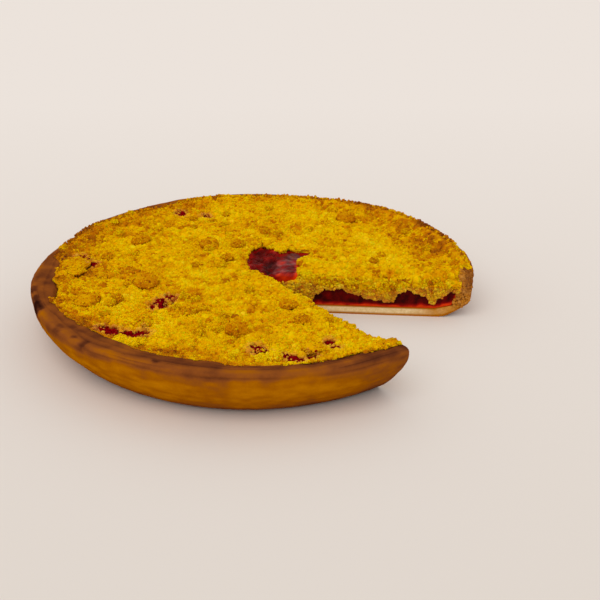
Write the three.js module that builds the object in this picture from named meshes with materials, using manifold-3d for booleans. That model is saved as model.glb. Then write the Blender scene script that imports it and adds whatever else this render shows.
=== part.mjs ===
// A round fruit crumb tart, 28 cm across, with one wedge already taken out.
// It is three layers, each one solid: a thick pastry case, a red fruit filling that lies in it, and a baked
// crumb topping over the filling. The topping is broken open where the wedge's tip came away.
// Units are millimetres. +Z is up, the origin is the middle of the underside, and the wedge opens towards +X.
import * as THREE from "three";
import { mergeVertices } from "three/addons/utils/BufferGeometryUtils.js";
import Module from "manifold-3d";

const wasm = await Module();
wasm.setup();

// ---- Driving dimensions -------------------------------------------------------------------------------
const WIDEST_RADIUS = 141; // the case's wall flares out to this just under its rim
const WIDEST_HEIGHT = 32;
const FOOT_RADIUS = 120; // where the wall meets the flat underside, before the corner is rounded
const FOOT_ROUNDING = 4;
const CREST_RADIUS = 137; // the rim's highest line, close to its outer edge
const CREST_HEIGHT = 35;
const FLOOR_THICKNESS = 6;
const FLOOR_RADIUS = 112; // the flat floor inside, before it turns up into the wall
const FILLING_TOP = 17; // usual height of the fruit layer's surface
const FILLING_RADIUS = 121.6;
const CRUMB_TOP = 31; // usual height of the crumbs
const CRUMB_UNDERSIDE = 10; // the crumb block starts below the fruit and is cut to it
const LAYER_GAP = 0.3; // clearance between two layers that rest on each other
const SEGMENTS = 60; // facets round the case and the filling
const CRUMB_RINGS = 28; // rings of points in the crumb surface, from the middle to its edge

// The wedge: two straight cuts from a tip close to the middle.
const TIP = { x: 1, y: 6 };
const FRONT_CUT_DEG = -53.6;
const BACK_CUT_DEG = -4.6;
const CUT_LENGTH = 175; // runs past the rim
const CUT_HEIGHT = 80;
const CRUMB_CUT_RAGGEDNESS = 1.6; // how far crumbs break away from the straight cut

// Where the fruit swelled up: through the crumbs beside the wedge's tip, and less far at the back cut.
const SWELL = { x: 13, y: 27, radius: 31, height: 10 };
const CUT_SWELL = { x: 110, y: -3, radius: 17, height: 3 };

const DEG = Math.PI / 180;

// ---- Small helpers ------------------------------------------------------------------------------------
const smooth = (t) => t * t * (3 - 2 * t);
const clamp01 = (t) => Math.min(1, Math.max(0, t));
const angleGap = (a, b) => Math.abs(((a - b + 540) % 360) - 180);

// A repeatable value between 0 and 1 for a whole-number grid point.
function gridValue(i, j, seed) {
  const s = Math.sin(i * 127.1 + j * 311.7 + seed * 74.7) * 43758.5453;
  return s - Math.floor(s);
}

// Smooth noise from -1 to 1, with bumps about `size` millimetres across.
function noise(x, y, size, seed) {
  const u = x / size;
  const v = y / size;
  const i = Math.floor(u);
  const j = Math.floor(v);
  const fu = smooth(u - i);
  const fv = smooth(v - j);
  const low = THREE.MathUtils.lerp(gridValue(i, j, seed), gridValue(i + 1, j, seed), fu);
  const high = THREE.MathUtils.lerp(gridValue(i, j + 1, seed), gridValue(i + 1, j + 1, seed), fu);
  return 2 * THREE.MathUtils.lerp(low, high, fv) - 1;
}

// A repeatable stream of random numbers between 0 and 1 (a linear congruential generator).
function randomStream(seed) {
  let state = seed;
  return () => {
    state = (state * 1664525 + 1013904223) % 4294967296;
    return state / 4294967296;
  };
}

// A closed three.js geometry as a solid that can be cut and joined.
function solidFrom(geometry) {
  const bare = geometry.clone();
  bare.deleteAttribute("normal");
  bare.deleteAttribute("uv");
  const merged = mergeVertices(bare, 1e-4);
  return new wasm.Manifold(
    new wasm.Mesh({
      numProp: 3,
      vertProperties: merged.attributes.position.array,
      triVerts: new Uint32Array(merged.index.array),
    }),
  );
}

// The largest closed body of a solid, as a three.js geometry.
function geometryFrom(solid) {
  const body = solid.decompose().sort((a, b) => b.volume() - a.volume())[0];
  const mesh = body.getMesh();
  const geometry = new THREE.BufferGeometry();
  geometry.setAttribute("position", new THREE.Float32BufferAttribute(mesh.vertProperties, 3));
  geometry.setIndex(new THREE.Uint32BufferAttribute(mesh.triVerts, 1));
  const faceted = geometry.toNonIndexed();
  faceted.computeVertexNormals();
  return faceted;
}

// ---- The case's profile: points of radius and height, from the middle of the underside round to the floor
function caseOutside() {
  const points = [new THREE.Vector2(FOOT_RADIUS - FOOT_ROUNDING, 0), new THREE.Vector2(FOOT_RADIUS - 0.6, 0.9)];
  for (const share of [0.12, 0.34, 0.58, 0.8, 1]) {
    const reach = Math.sin((share * Math.PI) / 2);
    points.push(new THREE.Vector2(FOOT_RADIUS + (WIDEST_RADIUS - FOOT_RADIUS) * reach, WIDEST_HEIGHT * share));
  }
  for (const turn of [35, 65, 90]) {
    points.push(
      new THREE.Vector2(
        CREST_RADIUS + (WIDEST_RADIUS - CREST_RADIUS) * Math.cos(turn * DEG),
        WIDEST_HEIGHT + (CREST_HEIGHT - WIDEST_HEIGHT) * Math.sin(turn * DEG),
      ),
    );
  }
  return points;
}

const CASE_INSIDE = [
  new THREE.Vector2(133, CREST_HEIGHT - 0.5),
  new THREE.Vector2(129.8, CREST_HEIGHT - 2.2),
  new THREE.Vector2(127.2, 28.5),
  new THREE.Vector2(124.8, 22),
  new THREE.Vector2(122.4, 15),
  new THREE.Vector2(118.6, 8.6),
  new THREE.Vector2(FLOOR_RADIUS, FLOOR_THICKNESS),
  new THREE.Vector2(0, FLOOR_THICKNESS),
];

// The profile moved inwards and upwards by the gap that keeps two layers apart.
function clearOf(points, gap) {
  return points.map((p, i) => {
    const before = points[Math.max(0, i - 1)];
    const after = points[Math.min(points.length - 1, i + 1)];
    const along = after.clone().sub(before).normalize();
    return p.x === 0 ? new THREE.Vector2(0, p.y + gap) : new THREE.Vector2(p.x + along.y * gap, p.y - along.x * gap);
  });
}

// The rim is hand pressed: it rises, dips and swells a little on its way round. The swell is nothing at the
// four quarter points, so the case stays WIDEST_RADIUS there. One finger's dent lies at the back left, and
// the rim flares out beside the front cut.
function pressRim(geometry) {
  const p = geometry.attributes.position;
  for (let i = 0; i < p.count; i += 1) {
    const radius = Math.hypot(p.getX(i), p.getY(i));
    const turn = Math.atan2(p.getY(i), p.getX(i));
    const high = smooth(clamp01((p.getZ(i) - 14) / 16)) * smooth(clamp01((radius - FILLING_RADIUS) / 8));
    const dent = 2.4 * Math.exp(-((angleGap(turn / DEG, 159) / 6) ** 2));
    const flare = Math.exp(-((angleGap(turn / DEG, -50) / 11) ** 2));
    const swell = 0.4 * Math.sin(4 * turn) + 0.35 * Math.sin(10 * turn) - dent + 2.4 * flare;
    const lift = 0.5 * Math.sin(3 * turn + 1) + 0.3 * Math.sin(7 * turn + 2) - 0.6 * dent + 0.8 * flare;
    const stretch = radius > 0 ? (radius + high * swell) / radius : 1;
    p.setXYZ(i, p.getX(i) * stretch, p.getY(i) * stretch, p.getZ(i) + high * lift);
  }
  return geometry;
}

// A lathe about the vertical axis. THREE turns about Y, so the shape is stood up afterwards.
function turned(profile) {
  return new THREE.LatheGeometry(profile, SEGMENTS).rotateX(Math.PI / 2);
}

// ---- The wedge ----------------------------------------------------------------------------------------
// A tall prism with the plan of the wedge. With raggedness, its sides wander as broken crumbs do.
function wedge(raggedness = 0) {
  const steps = raggedness > 0 ? 34 : 1;
  const side = (degrees, seed) => {
    const points = [];
    for (let i = 1; i <= steps; i += 1) {
      const reach = (CUT_LENGTH * i) / steps;
      const wander = raggedness * noise(reach, seed, 6, seed);
      points.push(
        new THREE.Vector2(
          TIP.x + reach * Math.cos(degrees * DEG) - wander * Math.sin(degrees * DEG),
          TIP.y + reach * Math.sin(degrees * DEG) + wander * Math.cos(degrees * DEG),
        ),
      );
    }
    return points;
  };
  const plan = new THREE.Shape([
    new THREE.Vector2(TIP.x, TIP.y),
    ...side(FRONT_CUT_DEG, 3),
    ...side(BACK_CUT_DEG, 8).reverse(),
  ]);
  const prism = new THREE.ExtrudeGeometry(plan, { depth: CUT_HEIGHT, bevelEnabled: false });
  return solidFrom(prism.translate(0, 0, -CUT_HEIGHT / 4));
}

// ---- Pastry case --------------------------------------------------------------------------------------
function makeCase() {
  const profile = [new THREE.Vector2(0, 0), ...caseOutside(), ...CASE_INSIDE];
  return geometryFrom(solidFrom(pressRim(turned(profile))).subtract(wedge()));
}

// ---- Fruit filling ------------------------------------------------------------------------------------
// Height of the fruit's surface: nearly level, wavy, and swollen up in two places. A swell is flat on top out to
// 0.8 of its radius and ends at 1.3 of it.
function swollen(swell, x, y) {
  const away = Math.hypot(x - swell.x, y - swell.y) / swell.radius;
  return swell.height * smooth(clamp01(2 * (1.3 - away)));
}

function fillingHeight(x, y) {
  const waves = 0.6 * noise(x, y, 24, 5) + 0.4 * noise(x, y, 11, 9);
  return FILLING_TOP + swollen(SWELL, x, y) + swollen(CUT_SWELL, x, y) + waves;
}

const FILLING_RINGS = [FILLING_RADIUS, 116, 103, 88, 74, 61, 50, 40, 30, 20, 10, 0];

// Sets every point of a lathed surface that belongs to the fruit's top to the fruit's own height.
function waveFilling(geometry, gap) {
  const p = geometry.attributes.position;
  for (let i = 0; i < p.count; i += 1) {
    const radius = Math.hypot(p.getX(i), p.getY(i));
    if (radius < FILLING_RADIUS + 0.01 && p.getZ(i) > FILLING_TOP - 0.5) {
      p.setZ(i, fillingHeight(p.getX(i), p.getY(i)) + gap);
    }
  }
  return geometry;
}

function makeFilling() {
  const resting = clearOf(CASE_INSIDE, LAYER_GAP).slice(4).reverse();
  const top = FILLING_RINGS.map((radius) => new THREE.Vector2(radius, FILLING_TOP));
  return geometryFrom(solidFrom(waveFilling(turned([...resting, ...top]), 0)).subtract(wedge()));
}

// ---- Crumb topping ------------------------------------------------------------------------------------
// How far out the crumbs reach, by direction in degrees. They leave the rim bare at the front and the left,
// and spill over it beside the wedge, along the right and at the back left. Heights between two entries are
// blended.
const CRUMB_REACH = [
  [-180, 129],
  [-150, 129],
  [-125, 128.5],
  [-100, 131],
  [-75, 129.5],
  [-60, 132],
  [-50, 139],
  [50, 139],
  [75, 136],
  [95, 132],
  [112, 136],
  [126, 138.5],
  [154, 138.5],
  [164, 131],
  [180, 129],
];

function crumbReach(degrees) {
  const after = CRUMB_REACH.findIndex(([at]) => at >= degrees);
  const [endAt, end] = CRUMB_REACH[Math.max(1, after)];
  const [startAt, start] = CRUMB_REACH[Math.max(1, after) - 1];
  const ragged = 1.1 * noise(degrees, 0, 5, 21);
  return THREE.MathUtils.lerp(start, end, smooth((degrees - startAt) / (endAt - startAt))) + ragged;
}

// Height of the crumbs: an uneven bed of clumps and grains that thins at the open patch and climbs the rim.
function crumbHeight(x, y, reach) {
  const radius = Math.hypot(x, y);
  const bed = 0.9 * noise(x, y, 46, 1) + 1.0 * noise(x, y, 17, 2) + 1.3 * noise(x, y, 7, 3);
  const patch = Math.hypot(x - SWELL.x, y - SWELL.y) / SWELL.radius;
  const thinner = 1.6 * smooth(clamp01(1.5 - patch));
  const towardsRim = 4.6 * smooth(clamp01((radius - 112) / 22));
  const edge = 2.4 * smooth(clamp01((radius - reach + 5) / 5));
  return CRUMB_TOP + bed - thinner + towardsRim - edge;
}

// The crumb block: a disc of rings with 6, 12, 18 ... points, so that its facets are all about one size.
function crumbBlock() {
  const points = [];
  const faces = [];
  const firstOf = (ring) => (ring === 0 ? 0 : 1 + 3 * ring * (ring - 1));
  for (let ring = 0; ring <= CRUMB_RINGS; ring += 1) {
    const count = Math.max(1, 6 * ring);
    for (let i = 0; i < count; i += 1) {
      const turn = (i / count) * 2 * Math.PI;
      const reach = crumbReach(((turn / DEG + 180) % 360) - 180);
      const radius = (reach * ring) / CRUMB_RINGS;
      const x = radius * Math.cos(turn);
      const y = radius * Math.sin(turn);
      points.push(x, y, crumbHeight(x, y, reach));
    }
  }
  for (let ring = 1; ring <= CRUMB_RINGS; ring += 1) {
    const outer = (i) => firstOf(ring) + (i % (6 * ring));
    const inner = (i) => (ring === 1 ? 0 : firstOf(ring - 1) + (i % (6 * (ring - 1))));
    for (let sector = 0; sector < 6; sector += 1) {
      for (let i = 0; i < ring; i += 1) {
        const out = sector * ring + i;
        const inn = sector * (ring - 1) + i;
        faces.push(outer(out), outer(out + 1), inner(inn));
        if (i < ring - 1) faces.push(outer(out + 1), inner(inn + 1), inner(inn));
      }
    }
  }
  const rimCount = 6 * CRUMB_RINGS;
  const rimStart = firstOf(CRUMB_RINGS);
  const footStart = points.length / 3;
  for (let i = 0; i < rimCount; i += 1) {
    points.push(points[3 * (rimStart + i)], points[3 * (rimStart + i) + 1], CRUMB_UNDERSIDE);
  }
  const middle = points.length / 3;
  points.push(0, 0, CRUMB_UNDERSIDE);
  for (let i = 0; i < rimCount; i += 1) {
    const next = (i + 1) % rimCount;
    faces.push(rimStart + i, footStart + i, footStart + next);
    faces.push(rimStart + i, footStart + next, rimStart + next);
    faces.push(footStart + i, middle, footStart + next);
  }
  const geometry = new THREE.BufferGeometry();
  geometry.setAttribute("position", new THREE.Float32BufferAttribute(points, 3));
  geometry.setIndex(faces);
  return solidFrom(geometry);
}

// Everything below the crumbs, one gap larger: the fruit's surface, then the case's wall and crest.
function bedUnderCrumbs() {
  const fruit = FILLING_RINGS.map((radius) => new THREE.Vector2(radius, FILLING_TOP + LAYER_GAP));
  const outside = caseOutside();
  const wall = clearOf([...outside.slice(-4), ...CASE_INSIDE.slice(0, 5)], LAYER_GAP).slice(1, -1);
  const foot = [new THREE.Vector2(0, -1), new THREE.Vector2(WIDEST_RADIUS + 7, -1)];
  return solidFrom(waveFilling(pressRim(turned([...foot, ...wall, ...fruit])), LAYER_GAP));
}

// Round lumps of dough that baked darker than the loose crumbs: place, width, and how far they stand out.
const LUMP_COUNT = 48;
const NAMED_LUMPS = [
  { x: -68, y: -18, width: 17 },
  { x: -7, y: -82, width: 14 },
  { x: 63, y: 92, width: 13 },
  { x: -82, y: 54, width: 12 },
  { x: -34, y: 45, width: 12 },
  { x: -100, y: 24, width: 8 },
  { x: 36, y: -106, width: 12 },
];

function lump(x, y, width, random) {
  const ball = new THREE.IcosahedronGeometry(width / 2, width > 11 ? 1 : 0);
  ball.rotateX(random() * 3).rotateZ(random() * 3);
  ball.scale(0.9 + 0.2 * random(), 0.9 + 0.2 * random(), 0.75);
  const reach = crumbReach(Math.atan2(y, x) / DEG);
  return solidFrom(ball.translate(x, y, crumbHeight(x, y, reach) - 0.1 * width));
}

function addLumps(crumbs) {
  const random = randomStream(11);
  let made = NAMED_LUMPS.reduce((sum, at) => sum.add(lump(at.x, at.y, at.width, random)), crumbs);
  for (let i = 0; i < LUMP_COUNT; i += 1) {
    const turn = random() * 2 * Math.PI;
    const radius = 118 * Math.sqrt(random());
    const x = radius * Math.cos(turn);
    const y = radius * Math.sin(turn);
    if (Math.hypot(x - SWELL.x, y - SWELL.y) > 30) made = made.add(lump(x, y, 5 + 4.5 * random(), random));
  }
  return made;
}

// The open patch at the wedge's tip, where the topping came off with the slice and shows the fruit.
const PATCH_OUTLINE = [
  [-5, 12],
  [-5, 23],
  [-3, 37],
  [1, 48],
  [4, 51],
  [9, 49],
  [12, 41],
  [16, 38],
  [22, 44],
  [26, 38],
  [33, 37],
  [30, 29],
  [27, 23],
  [27.5, 14.5],
  [25, 8],
  [21.5, 4],
  [20, -4],
  [12, -6],
  [6, 4],
];

function openPatch() {
  const plan = new THREE.Shape(PATCH_OUTLINE.map(([x, y]) => new THREE.Vector2(x, y)));
  const prism = new THREE.ExtrudeGeometry(plan, { depth: CUT_HEIGHT, bevelEnabled: false });
  return solidFrom(prism);
}

// Small places where juice bubbled through: shallow pits in the crumbs.
const PITS = [
  { x: -55, y: -39, width: 11 },
  { x: -72, y: -81, width: 22 },
  { x: -110, y: 18, width: 9 },
  { x: 10, y: -105, width: 12 },
  { x: 28, y: -113, width: 13 },
];

function pit(x, y, width, random) {
  const hole = new THREE.CylinderGeometry(width * 0.5, width * 0.22, 9, 8).rotateX(Math.PI / 2);
  hole.scale(1, 0.6 + 0.2 * random(), 1).rotateZ(random());
  const reach = crumbReach(Math.atan2(y, x) / DEG);
  return solidFrom(hole.translate(x, y, crumbHeight(x, y, reach) + 1.5));
}

function makeCrumbs() {
  const random = randomStream(29);
  let crumbs = addLumps(crumbBlock());
  for (const at of PITS) crumbs = crumbs.subtract(pit(at.x, at.y, at.width, random));
  const fitted = crumbs.subtract(bedUnderCrumbs()).subtract(openPatch());
  return geometryFrom(fitted.subtract(wedge(CRUMB_CUT_RAGGEDNESS)));
}

// ---- The tart -----------------------------------------------------------------------------------------
const FINISHES = {
  pastry_case: { color: 0x98570a, roughness: 0.55, metalness: 0 },
  fruit_filling: { color: 0x590f0b, roughness: 0.2, metalness: 0 },
  crumb_topping: { color: 0xce9810, roughness: 0.9, metalness: 0 },
};

const tart = new THREE.Group();
tart.name = "crumb_tart";
const layers = { pastry_case: makeCase(), fruit_filling: makeFilling(), crumb_topping: makeCrumbs() };
for (const [name, geometry] of Object.entries(layers)) {
  const layer = new THREE.Mesh(geometry, new THREE.MeshStandardMaterial(FINISHES[name]));
  layer.name = name;
  tart.add(layer);
}

export default tart;
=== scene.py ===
# %% [markdown]
# # A fruit crumb tart, one layer at a time
#
# The tart has three layers: a thick pastry case, a dark red fruit filling and a bed of golden crumbs.
# A wedge has been cut out, so all three show at the two cuts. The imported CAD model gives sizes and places.
# This lesson dresses it: numpy works out each layer as a surface and throws thousands of small crumbs on top.
# All shape formulas work in millimetres, and a mesh is scaled to metres when it is made.

import math

import bpy
import numpy as np
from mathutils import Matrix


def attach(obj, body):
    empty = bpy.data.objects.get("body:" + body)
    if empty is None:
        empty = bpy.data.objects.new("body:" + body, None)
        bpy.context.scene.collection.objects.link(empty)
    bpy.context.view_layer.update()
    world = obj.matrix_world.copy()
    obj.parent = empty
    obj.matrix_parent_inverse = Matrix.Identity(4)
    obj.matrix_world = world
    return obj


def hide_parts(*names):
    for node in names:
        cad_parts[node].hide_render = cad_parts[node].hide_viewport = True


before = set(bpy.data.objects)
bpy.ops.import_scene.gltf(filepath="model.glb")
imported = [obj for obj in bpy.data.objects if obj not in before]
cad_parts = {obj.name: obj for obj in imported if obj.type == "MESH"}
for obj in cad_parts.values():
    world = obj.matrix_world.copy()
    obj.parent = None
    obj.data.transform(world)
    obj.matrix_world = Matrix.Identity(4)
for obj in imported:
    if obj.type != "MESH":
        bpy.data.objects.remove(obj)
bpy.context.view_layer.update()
MM = 0.001

# %% [markdown]
# ## Colours
# A picture's colours are given in sRGB, from 0 to 255. Shaders work with linear light, so each colour is
# converted first. The Standard view shows it again without the grey that filmic views mix in, which matters
# for a yellow as strong as that of baked butter crumbs.


# %% Colour helper and view
def srgb(red, green, blue):
    """Turns 0-255 sRGB values into linear light, with full opacity."""
    shares = np.array([red, green, blue]) / 255.0
    linear = np.where(shares <= 0.04045, shares / 12.92, ((shares + 0.055) / 1.055) ** 2.4)
    return (*map(float, linear), 1.0)


bpy.context.scene.view_settings.view_transform = "Standard"
bpy.context.scene.view_settings.look = "None"
print("view:", bpy.context.scene.view_settings.view_transform)

# %% [markdown]
# ## Repeatable unevenness
# Baked food is never even, but the script has to give the same tart every time. So the noise is a formula:
# each corner of an invisible 3-D grid has a fixed value, and a point blends the eight corners round it.
# Several sizes of noise added together look natural.


# %% Smooth noise from numpy
def corner_values(cells, seed):
    """A repeatable value from -1 to 1 for each grid corner, by mixing its three whole numbers as bits."""
    mixed = cells[..., 0] * 73856093 ^ cells[..., 1] * 19349663 ^ cells[..., 2] * 83492791 ^ (seed * 83647)
    mixed = (mixed ^ (mixed >> 13)) * 1274126177
    mixed = (mixed ^ (mixed >> 16)) & 0xFFFFFF
    return mixed / 0x7FFFFF - 1.0


def noise(points, size, seed):
    """Smooth noise from -1 to 1, with bumps about `size` mm wide: eight grid corners blended."""
    scaled = np.asarray(points, float) / size
    cells = np.floor(scaled).astype(np.int64)
    part = scaled - cells
    part = part * part * (3 - 2 * part)
    total = np.zeros(len(scaled))
    for corner in np.ndindex(2, 2, 2):
        weight = np.prod(np.where(corner, part, 1 - part), axis=1)
        total += weight * corner_values(cells + np.array(corner), seed)
    return total


def layered_noise(points, size, seed, layers=3, fade=0.5):
    """Noise of several sizes, each half as wide and `fade` as strong as the one before."""
    strengths = fade ** np.arange(layers)
    total = sum(s * noise(points, size / 2**k, seed + k) for k, s in enumerate(strengths))
    return total / strengths.sum()


def noises(points, *terms):
    """A sum of noises, each given as its strength, its bumps' size in mm and its seed."""
    return sum(strength * noise(points, size, seed) for strength, size, seed in terms)


def bump(value, middle, width):
    """1 where the value is at `middle`, and nearly 0 from two widths away on both sides."""
    return np.exp(-(((value - middle) / width) ** 2))


def flat(x, y):
    """Plan points as 3-D points at height nought, for noise that follows the plan."""
    return np.stack([x, y, np.zeros_like(x)], axis=1)


def blend(low, high, value):
    """0 up to `low`, 1 from `high`, and a smooth rise between them. It also falls, where low is over high."""
    share = np.clip((value - low) / (high - low), 0, 1)
    return share * share * (3 - 2 * share)


print("noise sample:", noise(flat(np.array([3.0, 40.0]), np.array([5.0, -9.0])), 10, 1).round(3))

# %% [markdown]
# ## The tart's plan
# Everything is laid out round the wedge's tip, close to the tart's middle. A point has a direction and a
# distance from it. The directions run from the back cut, round the left side, to the front cut, so the wedge
# is simply the part that is never drawn.

# %% Plan: tip, cuts and circles
TIP_X, TIP_Y = 1.0, 6.0
BACK_CUT = math.radians(-4.6)
FRONT_CUT = math.radians(306.4)
FOOT_RADIUS, WIDEST_RADIUS, WIDEST_HEIGHT = 120.0, 141.0, 32.0
CREST_RADIUS, CREST_HEIGHT = 137.0, 35.0
FILLING_RADIUS, FILLING_TOP = 121.6, 17.0
LAYER_GAP = 0.15


def from_tip(direction, distance):
    """Plan x and y of points at a direction and distance from the wedge's tip."""
    return TIP_X + distance * np.cos(direction), TIP_Y + distance * np.sin(direction)


def on_circle(direction, radius, share=1.0):
    """Plan points on a circle round the tart's middle, or a share of the way there from the wedge's tip."""
    along = TIP_X * np.cos(direction) + TIP_Y * np.sin(direction)
    return from_tip(direction, share * (-along + np.sqrt(radius**2 - TIP_X**2 - TIP_Y**2 + along**2)))


def turn_degrees(x, y):
    """Compass direction of a plan point from the tart's middle, from -180 to 180 degrees."""
    return np.degrees(np.arctan2(y, x))


def cut_distance(x, y, cut):
    """How far a plan point lies from one cut's line, and how far out along it."""
    dx, dy = x - TIP_X, y - TIP_Y
    return np.abs(dx * math.sin(cut) - dy * math.cos(cut)), dx * math.cos(cut) + dy * math.sin(cut)


print("the rim straight behind the tip:", np.round(on_circle(math.radians(90), WIDEST_RADIUS), 1))

# %% [markdown]
# ## From arrays to a mesh
# A layer is made of a top sheet and a bottom sheet with the same triangles. The sheets are a fan of rings
# round the wedge's tip: ring number j has 5j+1 points, so the triangles are about one size from the tip to
# the rim. Wherever the fan has an edge, at a cut, at the rim or round a hole, a wall joins the two sheets.


# %% Fan of triangles, and a closed layer from two sheets
def fan(rings):
    """Shares (0 at the tip to 1 at the rim), directions and triangles of a fan with that many rings."""
    counts = 5 * np.arange(rings + 1) + 1
    first = np.concatenate([[0], np.cumsum(counts)[:-1]])
    ring = np.repeat(np.arange(rings + 1), counts)
    place = np.arange(len(ring)) - first[ring]
    direction = BACK_CUT + (FRONT_CUT - BACK_CUT) * place / np.maximum(5 * ring, 1)
    starts = place < 5 * ring
    outer, step = ring[starts], place[starts]
    a = first[outer] + step
    b = first[outer - 1] + step // outer * (outer - 1) + step % outer
    more = step % outer < outer - 1
    triangles = np.concatenate([np.stack([a, a + 1, b], 1), np.stack([a + 1, b + 1, b], 1)[more]])
    return ring / rings, direction, triangles


def open_edges(triangles, count):
    """The directed edges that only one triangle uses: the sheet's rim, its cuts and its holes."""
    edges = np.concatenate([triangles[:, [0, 1]], triangles[:, [1, 2]], triangles[:, [2, 0]]])
    lone = ~np.isin(edges[:, 0] * count + edges[:, 1], edges[:, 1] * count + edges[:, 0])
    return edges[lone]


def outward(points, edges):
    """Level directions that point out of the sheet at its edge points."""
    along = points[edges[:, 1], :2] - points[edges[:, 0], :2]
    across = np.stack([along[:, 1], -along[:, 0]], axis=1)
    total = np.zeros((len(points), 2))
    for end in (0, 1):
        np.add.at(total, edges[:, end], across)
    return total / np.maximum(np.linalg.norm(total, axis=1, keepdims=True), 1e-9)


def closed_layer(top, bottom, triangles, levels, roughen=None):
    """Top sheet, bottom sheet and a wall of `levels` steps between their open edges.
    roughen(points, share) gives how far each wall point stands out, where share is 0 at the top."""
    used, triangles = np.unique(triangles, return_inverse=True)
    top, bottom, triangles, count = top[used], bottom[used], triangles.reshape(-1, 3), len(used)
    edges = open_edges(triangles, count)
    rim, ends = np.unique(edges, return_inverse=True)
    a, b = ends.reshape(-1, 2).T
    shares = np.arange(1, levels) / levels
    wall = top[rim][None] + (bottom[rim] - top[rim])[None] * shares[:, None, None]
    if roughen:
        push = roughen(wall.reshape(-1, 3), np.repeat(shares, len(rim))).reshape(levels - 1, len(rim))
        wall[..., :2] += outward(top, edges)[rim][None] * push[..., None]
    points = np.concatenate([top, bottom, wall.reshape(-1, 3)])
    rows = [rim, *np.arange(2 * count, len(points)).reshape(levels - 1, len(rim)), count + rim]
    sides = []
    for upper, lower in zip(rows[:-1], rows[1:]):
        sides.append(np.stack([upper[b], upper[a], lower[a]], 1))
        sides.append(np.stack([upper[b], lower[a], lower[b]], 1))
    faces = np.concatenate([triangles, triangles[:, ::-1] + count, *sides])
    return points, faces, used


def make_piece(name, points, faces, material, **values):
    """A mesh object from points in mm and triangles, with one stored number per point for each value."""
    mesh = bpy.data.meshes.new(name)
    mesh.from_pydata((points * MM).tolist(), [], faces.tolist())
    mesh.polygons.foreach_set("use_smooth", np.full(len(mesh.polygons), True))
    for key, numbers in values.items():
        layer = mesh.attributes.new(key, "FLOAT", "POINT")
        layer.data.foreach_set("value", np.asarray(numbers, np.float32))
    mesh.materials.append(material)
    mesh.update()
    piece = bpy.data.objects.new(name, mesh)
    bpy.context.scene.collection.objects.link(piece)
    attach(piece, "root")
    print(f"{name}: {len(points)} points, {len(faces)} triangles")
    return piece


# %% [markdown]
# ## Heights of the layers
# Each layer's surface is one function of the plan, so that crumbs, fruit and pastry agree on where they
# meet. The fruit lies nearly level, swells up beside the wedge's tip, where it bubbled through the crumbs,
# and stands a little higher in two places on the back cut. The case sank outwards where that cut ends it.


# %% Heights of the pastry, the fruit and the crumbs
# The case's floor and inner wall as a profile: heights at radii, from the middle out to the crest.
INNER_RADII = np.array([0.0, 112.0, 118.6, 122.4, 124.8, 127.2, 129.8, 133.0, 137.0])
INNER_HEIGHTS = np.array([6.0, 6.0, 8.6, 15.0, 22.0, 30.0, 34.0, 34.9, 35.0])
# A swell is its plan x and y, its radius and its height.
TIP_SWELL, CUT_SWELL, LOW_SWELL = (13.0, 27.0, 31.0, 10.0), (110.0, -3.0, 17.0, 3.0), (44.0, 2.0, 16.0, 2.0)
# How far from the middle the crumbs go in each direction, given in degrees.
CRUMB_REACH_TURN = [-180, -167, -158, -150, -142, -135, -126, -118, -108, -98, -93, -87, -75, -60, -50,
                    50, 75, 95, 108, 115, 140, 148, 158, 166, 173, 180]
CRUMB_REACH = [128, 126.4, 129.4, 128.2, 126.2, 124.8, 125, 126.6, 127, 126.2, 130, 129.5, 129.5, 132.5, 139,
               139, 136, 133, 135, 132.5, 134.5, 137, 137.5, 136, 131.5, 128]
# How far the inner wall sank outwards at the back cut, by its radius.
SLUMP_RADII = [90, 112, 118.6, 122.4, 124.8, 127.2, 129.8, 133, 137]
SLUMP_PUSH = [0, 5, 10, 8.6, 7, 5.4, 3.6, 1.2, 0]
CRUMB_TOP, TALLEST = 30.8, 36.9
GUESSES = 12


def rim_press(x, y):
    """How the hand-pressed rim swells outwards and lifts: a finger's dent at the back left, and a flare
    where it ends at the front cut."""
    turn, degrees = np.arctan2(y, x), turn_degrees(x, y)
    dent, flare = 2.4 * bump(degrees, 159, 6), bump(degrees, -50, 11)
    swell = 0.4 * np.sin(4 * turn) + 0.35 * np.sin(10 * turn) - dent + 2.4 * flare
    lift = 0.5 * np.sin(3 * turn + 1) + 0.3 * np.sin(7 * turn + 2) - 0.6 * dent + 0.8 * flare
    return swell, lift


def wall_slump(turn):
    """1 at the end of the case at the back cut, where its wall sank outwards, fading to 0 along the wall."""
    return bump(turn, -2, 14)


def inner_shift(radius, turn):
    """How far the case's inner wall stands out from its plain profile: out where the wall slumped, and in
    where the crumbs stop short and leave a broad bare rim."""
    short = np.clip(129.8 - np.interp(turn, CRUMB_REACH_TURN, CRUMB_REACH), 0, 5)
    rim = blend(118, 127, radius) * blend(136.5, 130, radius)
    return np.interp(radius, SLUMP_RADII, SLUMP_PUSH) * wall_slump(turn) - short * rim


def plain_radius(x, y):
    """The radius that a point of the inner wall had before its shift, by a row of better guesses."""
    radius, turn = np.hypot(x, y), turn_degrees(x, y)
    plain = radius
    for _ in range(GUESSES):
        plain = 0.5 * plain + 0.5 * (radius - inner_shift(plain, turn))
    return plain


def pastry_top(x, y):
    """Height of the case's upper side: the floor, the inner wall, the crest, then down over the rim."""
    radius = np.hypot(x, y)
    inside = np.interp(plain_radius(x, y), INNER_RADII, INNER_HEIGHTS)
    over = np.clip((radius - CREST_RADIUS) / (WIDEST_RADIUS - CREST_RADIUS), 0, 1)
    rolled = WIDEST_HEIGHT + (CREST_HEIGHT - WIDEST_HEIGHT) * np.sqrt(1 - over**2)
    lift = rim_press(x, y)[1] * blend(122, 130, radius)
    return np.where(radius > CREST_RADIUS, rolled, inside) + lift


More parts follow.
